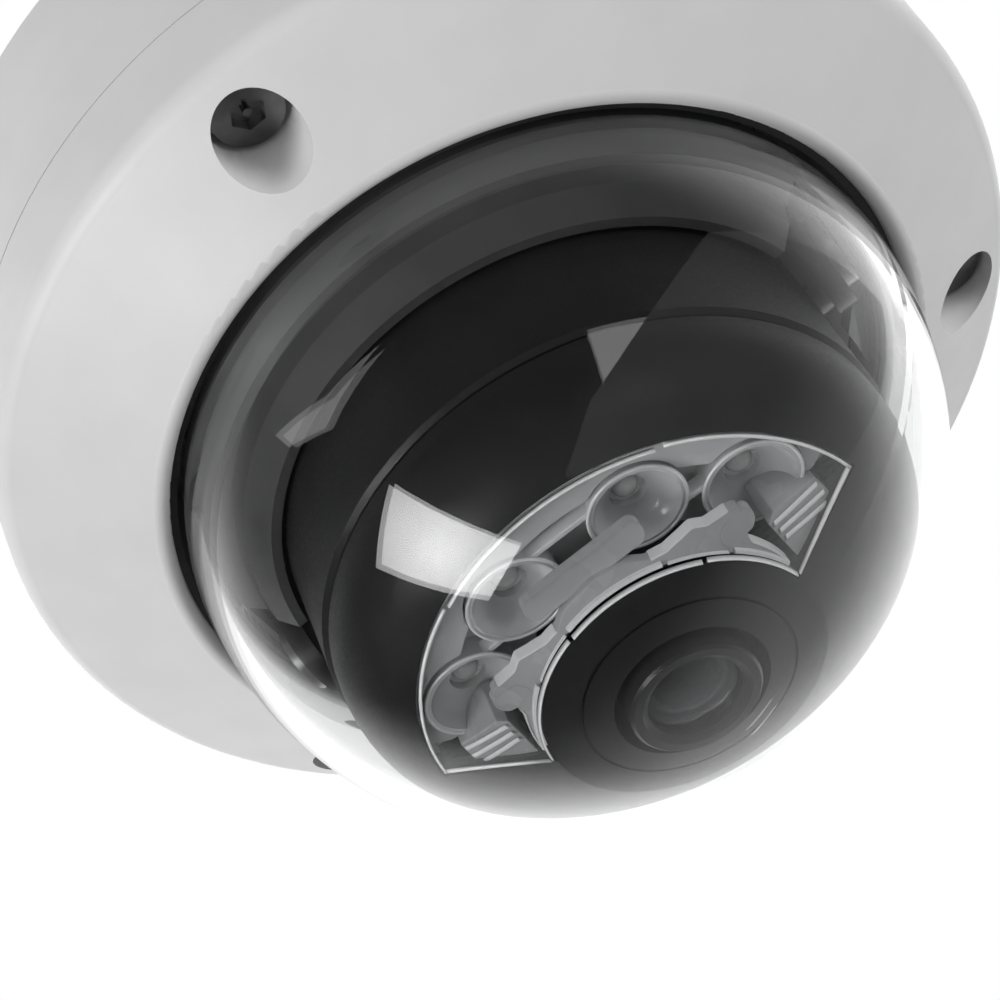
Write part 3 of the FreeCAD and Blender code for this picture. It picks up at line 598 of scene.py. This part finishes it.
def build_bowls(finish):
    """Smooth lining and rolled rim of each lamp bowl, round the lamp's clear dome."""
    count = 48
    # radius and height of each point, from the rolled rim to the bottom
    profile = [(4.95, 26.45), (4.95, 26.65), (4.8, 26.75), (4.62, 26.65)]
    profile += [(1.33 + 3.12 * cos(radians(t)), 26.3 - 3.2 * sin(radians(t))) for t in range(0, 91, 10)]
    size = len(profile)
    for k, (spot_radius, spot_angle) in enumerate(LAMP_SPOTS):
        centre = head_point(spot_radius, spot_angle, 0)
        vertices, faces = [], []
        for i in range(count):
            turn = 2 * pi * i / count
            vertices += [centre + Vector((r * cos(turn), r * sin(turn), -h)) * MM for r, h in profile]
            j = (i + 1) % count
            faces += [(i * size + m, j * size + m, j * size + m + 1, i * size + m + 1)
                      for m in range(size - 1)]
        bowl = finished("lamp_bowl_%d" % k, "head", "lamp_reflector", finish, vertices, faces)
        wall = bowl.modifiers.new("wall", "SOLIDIFY")
        wall.thickness = BOWL_WALL * MM
        wall.offset = -1.0


def build_rail(name, start, end, finish):
    """Narrow rail between two bowls, from one polar place to the other."""
    height, half_width, depth = 26.4, 0.32, 1.6
    a, b = head_point(*start, height), head_point(*end, height)
    across = (b - a).normalized().cross(Vector((0, 0, 1))) * half_width * MM
    drop = Vector((0, 0, depth * MM))
    sections = [[p + across, p - across, p - across + drop, p + across + drop] for p in (a, b)]
    lamp_piece(name, sections, finish, 0.15)


def build_window_ends(finish, ribbed):
    """Block with straight ribs at each end of the window."""
    for side in (-1, 1):
        name = "right" if side > 0 else "left"
        plan = ((14.8, 2.0), (20.6, 2.0), (20.4, 5.2), (15.8, 7.1), (14.8, 6.8))
        top, bottom = [], []
        for x, y in plan:
            point = TILT_AXIS + Vector((x * side, -y, 0)) * MM
            height = window_height(sqrt(x * x + y * y)) - BLOCK_DROP
            top.append(point - Vector((0, 0, height * MM)))
            bottom.append(point - Vector((0, 0, BLOCK_FOOT * MM)))
        lamp_piece("window_block_" + name, [top, bottom], finish, 0.15, smooth=False)
        for k in range(3):
            start, end = (15.2, 6.4 - 0.95 * k), (20.2, 4.6 - 1.25 * k)
            build_rib("window_rib_%s_%d" % (name, k), side, start, end, ribbed)


def build_rib(name, side, start, end, finish):
    """Half-round rib of the block; start and end are its distances along and across the tilt axis."""
    sections = []
    for share in (0.0, 0.33, 0.67, 1.0):
        x, y = (a + (b - a) * share for a, b in zip(start, end))
        height = window_height(sqrt(x * x + y * y)) - RIB_DROP
        centre = TILT_AXIS + Vector((x * side, -y, -height)) * MM
        across = Vector((side * (end[1] - start[1]), end[0] - start[0], 0)).normalized()
        turns = [radians(180 * k / 8) for k in range(9)]
        sections.append([centre + (across * cos(t) - Vector((0, 0, sin(t)))) * RIB_R * MM for t in turns])
    lamp_piece(name, sections, finish, 0.08)


def build_window_rim_highlights(finish):
    """Fine bright strips along the rims and ends of the window, with their small steps: painted highlights on the
    window's edges.
    """
    for k, (start, end, radius, width) in enumerate(((-82, -30, 23.85, 0.22), (-29, 30, 23.6, 0.16),
                                                     (32, 82, 23.85, 0.22))):
        build_rim_highlight("window_rim_outer_%d" % k, start, end, radius, width, finish)
    for k, (start, end, radius) in enumerate(((-81, -20, 14.35), (-18, 38, 14.25), (40, 81, 14.35))):
        build_rim_highlight("window_rim_inner_%d" % k, start, end, radius, 0.14, finish)
    for side, name in ((-1, "left"), (1, "right")):
        sections = []
        for radius in (14.5, 17.5, 20.5, 23.6):
            corners = ((80.9, 0.04), (81.9, 0.04), (81.9, -0.5), (80.9, -0.5))
            sections.append([head_point(radius, a * side, window_height(radius) + h) for a, h in corners])
        lamp_piece("window_rim_end_" + name, sections, finish)


def build_rim_highlight(name, start, end, radius, width, finish):
    """Thin bright strip let into the window along an arc: a painted highlight on the window's edge."""
    sections = []
    for a in angles_between(start, end, 2.0):
        corners = ((radius - width, 0.02), (radius, 0.05), (radius, -0.5), (radius - width, -0.5))
        sections.append([head_point(r, a, window_height(r) + h) for r, h in corners])
    lamp_piece(name, sections, finish)


def build_lamp_window():
    """Everything that shows behind the clear window round the lens."""
    shield = moulded("shield_grey", 0.34, 0.40, 0.26, 0.5, 0.006)
    # plate grey is the outer plate's own colour; on the shield's edge and step strips it is a painted highlight
    plate = moulded("plate_grey_and_edge_highlight", 0.66, 0.72, 0.24, 0.5, 0.006)
    # the silver is the rails' and ribs' own colour; on the window's rim strips it is a painted highlight
    edge = moulded("silver_and_edge_highlight", 0.78, 0.82, 0.20, 0.5, 0.003)
    bowl = moulded("bowl_silver", 0.95, 0.98, 0.30, 2.0, 0.002,
                   Metallic=0.15, Coat_Weight=1.0, Coat_Roughness=0.10)
    build_lamp_shield(shield)
    build_shield_edge_highlights(plate)
    build_outer_plate(plate)
    build_bowls(bowl)
    build_rail("lamp_rail_middle", (18.4, -12), (18.4, 12), edge)
    build_rail("lamp_rail_right", (15.6, 40.5), (17.6, 48.0), edge)
    build_rail("lamp_rail_left", (15.6, -40.5), (17.6, -48.0), edge)
    build_window_ends(shield, edge)
    build_window_rim_highlights(edge)


# ---------------------------------------------------------------- main board

def board_places():
    """Polar places of the small parts near the board's edge, clear of what else stands there."""
    mounted = ("network_connector", "power_connector", "camera_connector", "memory_card_slot", "reset_switch")
    taken = [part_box(node) for node in mounted]
    feet = [(at, 9) for at in (20, 160, 200, 340)]
    notches = [(at, 13) for at in (45, 135, 225, 315)] + [(90, 18)]
    margin = 1.5 * MM
    for k in range(90):
        angle = 4 * k
        if k % 7 == 6 or any(abs(angle - at) < reach for at, reach in feet + notches):
            continue
        place = Vector((cos(radians(angle)), sin(radians(angle)), 0)) * BOARD_PARTS_R * MM
        if not any(low[0] - margin < place.x < high[0] + margin
                   and low[1] - margin < place.y < high[1] + margin for low, high in taken):
            yield place


def brick(centre, along, across, length, width, height):
    """Vertices and faces of a small block that stands on the board's lower face."""
    corners = ((-1, -1), (1, -1), (1, 1), (-1, 1))
    rim = [centre + (along * i * length + across * j * width) / 2 * MM for i, j in corners]
    return loft([rim, [point - Vector((0, 0, height * MM)) for point in rim]])


def build_board_parts():
    """Small ceramic parts with tinned ends round the edge of the main board."""
    board_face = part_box("main_board")[0][2]
    groups = {"board_ceramics": ([], []), "board_tinned_ends": ([], [])}
    for place in board_places():
        along = place.normalized()
        across = Vector((-along.y, along.x, 0))
        centre = place + Vector((0, 0, board_face))
        pieces = [("board_ceramics", centre, 1.2, 0.80, 0.50)]
        for side in (-1, 1):
            pieces.append(("board_tinned_ends", centre + along * side * 0.7 * MM, 0.34, 0.84, 0.54))
        for name, where, length, width, height in pieces:
            vertices, faces = groups[name]
            new_vertices, new_faces = brick(where, along, across, length, width, height)
            faces += [tuple(index + len(vertices) for index in face) for face in new_faces]
            vertices += new_vertices
    ceramic = moulded("ceramic_tan", (0.20, 0.13, 0.08), (0.30, 0.20, 0.13), 0.45, 0.2, 0.003)
    tin = metal("tinned", 0.62, 0.70, 0.30)
    for name, slot, finish in (("board_ceramics", "chip_black", ceramic),
                               ("board_tinned_ends", "screw_steel", tin)):
        soften(finished(name, "base", slot, finish, *groups[name], smooth=False), 0.05, 1)


# ---------------------------------------------------------------- the scene

def dress_nodes(finishes):
    """Each CAD node gets the finish of its slot; the lens holder is as smooth as the barrel in it."""
    for part in frame["record"]["subparts"]:
        dress(part["node"], finishes[part["material_slot"]])
    dress("lens_holder", finishes["lens_black"])


def let_light_through():
    """The clear parts throw no shadow."""
    for node in ("dome_bubble", "led_window"):
        frame["nodes"][node].visible_shadow = False


build_camera()
build_lighting()
build_floor()
finishes = make_finishes()
dress_nodes(finishes)
let_light_through()
build_lamp_window()
build_board_parts()
bpy.context.scene.view_settings.view_transform = "Standard"
